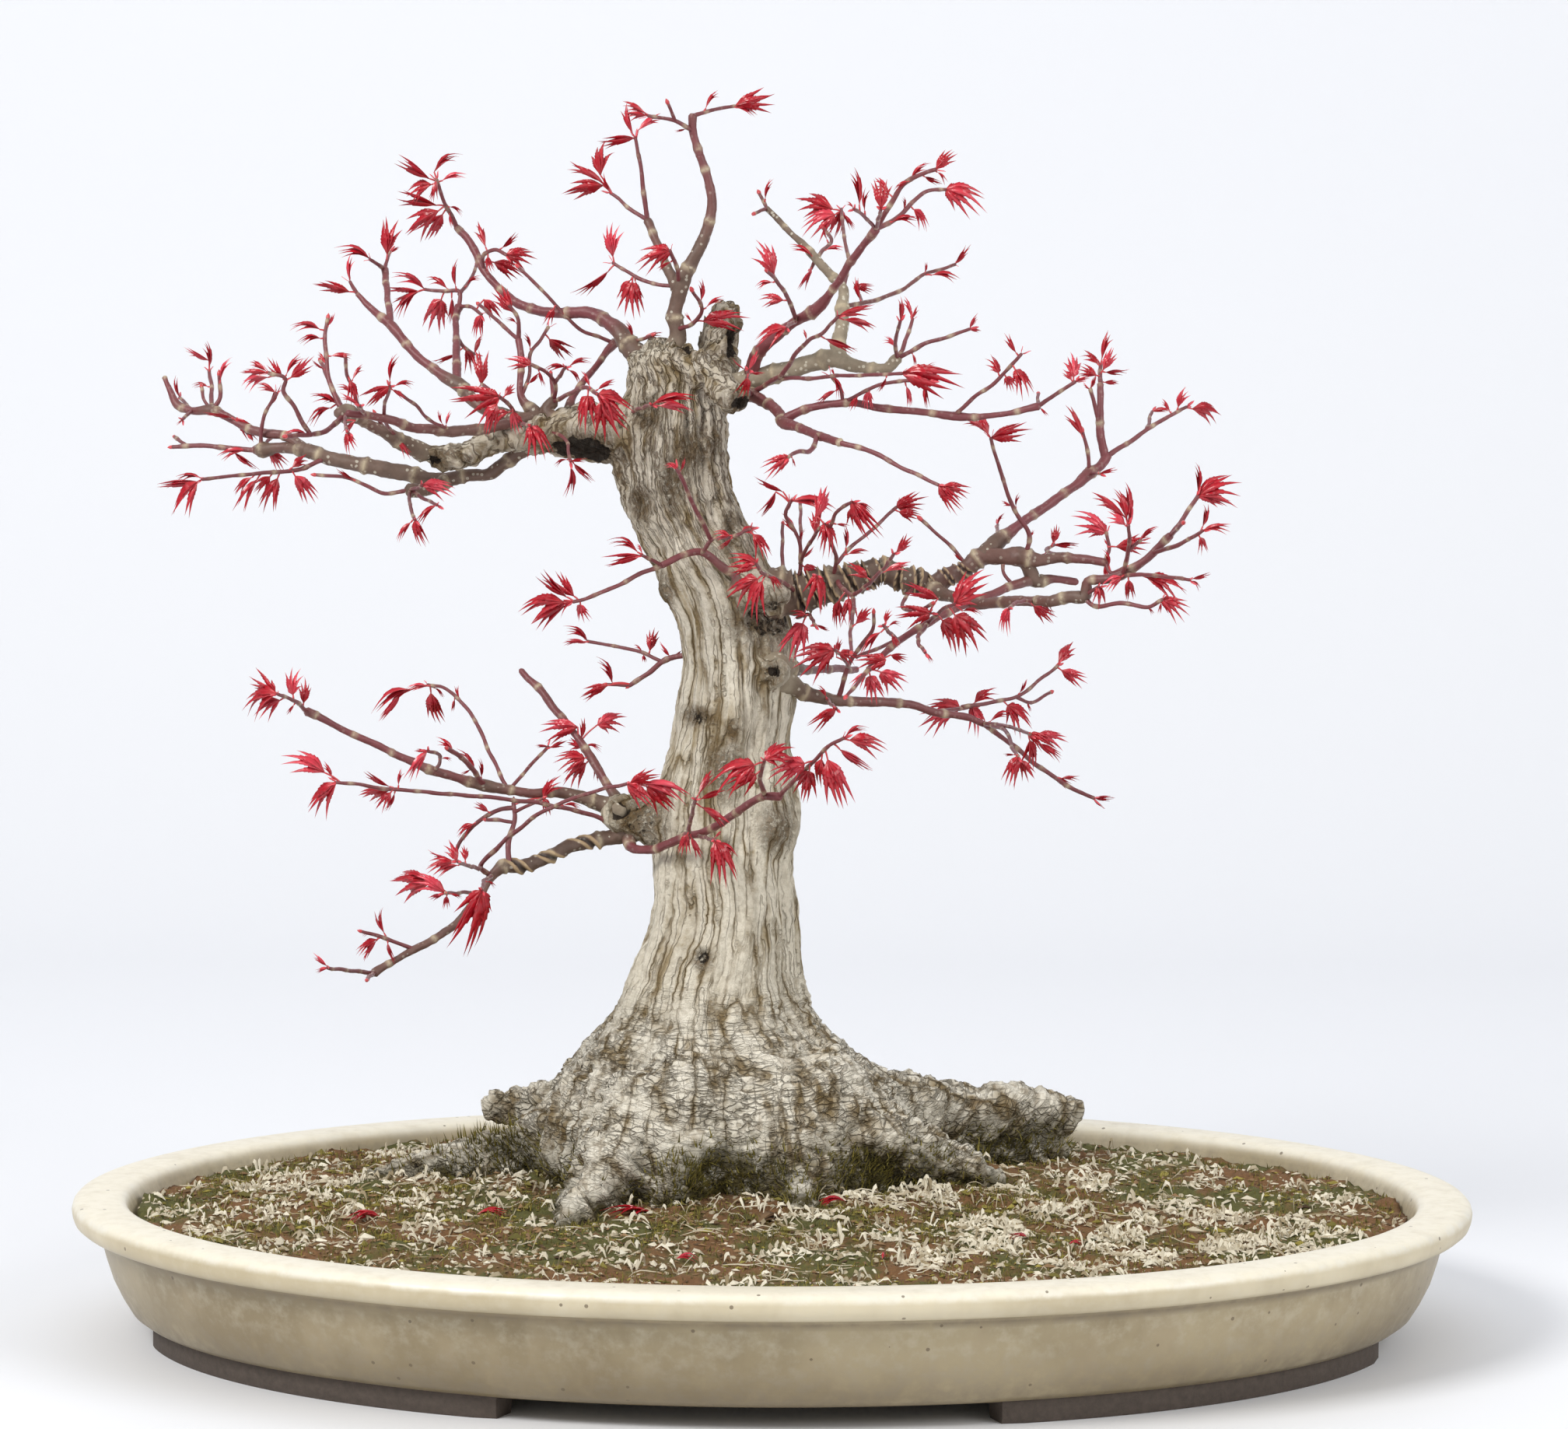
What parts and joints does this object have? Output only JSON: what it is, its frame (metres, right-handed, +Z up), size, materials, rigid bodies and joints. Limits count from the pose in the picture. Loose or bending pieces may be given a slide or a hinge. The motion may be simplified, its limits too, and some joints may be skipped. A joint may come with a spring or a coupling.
{
  "type": "japanese maple bonsai",
  "caption": "Old deshojo maple bonsai with a flared pale trunk and crimson new leaves, in a shallow oval cream-glazed tray.",
  "frame": {"origin": "centre of the tray's outline, at the level that its feet stand on", "axes": "+Z up, +X along the tray to the picture's right, front towards -Y"},
  "size_m": [0.56, 0.422, 0.4913],
  "materials": {
    "tray_glaze": "satin",
    "soil": "matte",
    "bark": "matte",
    "young_shoots": "matte"
  },
  "bodies": {
    "root": {"tray": "tray_glaze", "soil": "soil", "tree": "bark", "left_tip": "young_shoots", "left_long_low": "young_shoots", "left_knot_shoots": "young_shoots", "left_fork": "young_shoots", "upper_left": "young_shoots", "long_branch": "young_shoots", "snag_thread": "young_shoots", "inner_mast": "young_shoots", "inner_fan_left": "young_shoots", "inner_knot": "young_shoots", "crown_front_pair": "young_shoots", "limb_underside": "young_shoots", "top_left": "young_shoots", "top_tip": "young_shoots", "crown_right_spray": "young_shoots", "crown_left_low": "young_shoots", "pale_limb": "young_shoots", "red_limb": "young_shoots", "crown_right": "young_shoots", "crown_centre_star": "young_shoots", "pale_limb_end": "young_shoots", "lower_arc": "young_shoots", "high_branch": "young_shoots", "crossing_wand": "young_shoots", "ridge_shoot": "young_shoots", "limb_end": "young_shoots", "far_right": "young_shoots", "limb_underhang": "young_shoots", "limb_left_sticks": "young_shoots", "limb_first_whorl": "young_shoots", "limb_front_fans": "young_shoots", "limb_middle_arch": "young_shoots", "limb_middle_drop": "young_shoots", "limb_front_drop": "young_shoots", "trunk_side_drop": "young_shoots", "crease_shoot": "young_shoots", "crease_drop": "young_shoots", "front_wand": "young_shoots", "lower_right_riser": "young_shoots", "lower_right_hanging": "young_shoots", "lower_right_fans": "young_shoots", "lower_right_tip": "young_shoots", "front_twig": "young_shoots", "low_left_long": "young_shoots", "low_left_thin": "young_shoots", "low_left_arc": "young_shoots", "low_left_mast": "young_shoots", "low_left_whip": "young_shoots", "low_left_hook": "young_shoots", "low_left_level": "young_shoots", "low_left_end": "young_shoots", "low_left_fork": "young_shoots", "waist_twig": "young_shoots", "waist_riser": "young_shoots", "waist_low": "young_shoots"}
  },
  "joints": []
}
